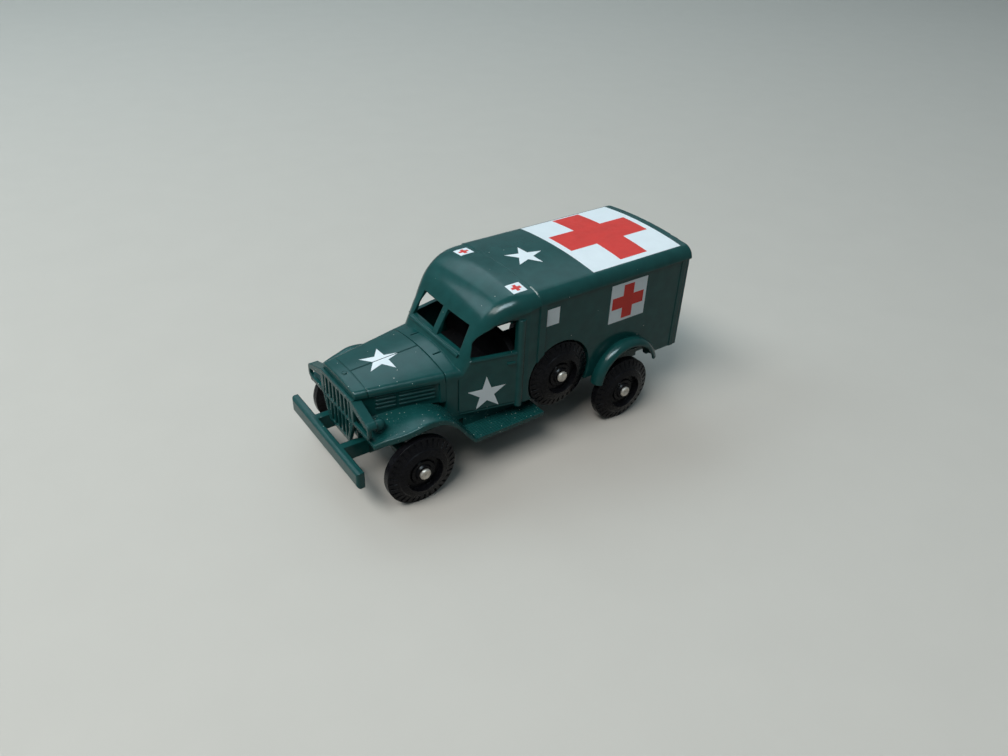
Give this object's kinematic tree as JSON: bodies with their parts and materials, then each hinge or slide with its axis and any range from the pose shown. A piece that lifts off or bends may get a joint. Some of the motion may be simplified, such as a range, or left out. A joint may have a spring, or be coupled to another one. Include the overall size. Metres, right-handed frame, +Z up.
{
  "type": "toy military ambulance truck",
  "caption": "Small die-cast toy of a wartime four-wheel ambulance truck with a box body, barred nose guard, spare wheel in the side and freely rolling lugged wheels.",
  "frame": {"origin": "on the ground under the middle of the toy's own bounding box", "axes": "+X towards the nose, +Y to the truck's left, +Z up"},
  "size_m": [0.099, 0.043, 0.045],
  "materials": {
    "enamel_body": "gloss",
    "enamel_doors": "gloss",
    "enamel_bonnet": "gloss",
    "enamel_radiator": "gloss",
    "enamel_guard": "gloss",
    "enamel_bumper": "gloss",
    "enamel_base": "gloss",
    "enamel_lamps": "gloss",
    "enamel_fenders": "gloss",
    "enamel_boards": "gloss",
    "interior_black": "satin",
    "pin_steel": "satin",
    "wheel_black": "satin"
  },
  "bodies": {
    "body": {"body_shell": "enamel_body", "rear_doors": "enamel_doors", "bonnet": "enamel_bonnet", "radiator": "enamel_radiator", "grille_guard": "enamel_guard", "front_bumper": "enamel_bumper", "base": "enamel_base", "interior": "interior_black", "axle_front": "pin_steel", "axle_rear": "pin_steel", "spare_pin": "pin_steel", "headlight_left": "enamel_lamps", "headlight_right": "enamel_lamps", "front_fender_left": "enamel_fenders", "front_fender_right": "enamel_fenders", "running_board_left": "enamel_boards", "running_board_right": "enamel_boards", "rear_fender_left": "enamel_fenders", "rear_fender_right": "enamel_fenders"},
    "front_left": {"wheel_front_left": "wheel_black"},
    "front_right": {"wheel_front_right": "wheel_black"},
    "rear_left": {"wheel_rear_left": "wheel_black"},
    "rear_right": {"wheel_rear_right": "wheel_black"},
    "spare": {"spare_wheel": "wheel_black"}
  },
  "joints": [
    {"name": "wheel_front_left_spin", "type": "hinge", "parent": "body", "child": "front_left", "pos_m": [0.03415, 0.0186, 0.00895], "axis": [0, 1, 0], "continuous": true},
    {"name": "wheel_front_right_spin", "type": "hinge", "parent": "body", "child": "front_right", "pos_m": [0.03415, -0.0186, 0.00895], "axis": [0, 1, 0], "continuous": true},
    {"name": "wheel_rear_left_spin", "type": "hinge", "parent": "body", "child": "rear_left", "pos_m": [-0.02735, 0.0186, 0.00895], "axis": [0, 1, 0], "continuous": true},
    {"name": "wheel_rear_right_spin", "type": "hinge", "parent": "body", "child": "rear_right", "pos_m": [-0.02735, -0.0186, 0.00895], "axis": [0, 1, 0], "continuous": true},
    {"name": "spare_wheel_spin", "type": "hinge", "parent": "body", "child": "spare", "pos_m": [-0.0071, 0.016, 0.0195], "axis": [0, 1, 0], "continuous": true}
  ]
}
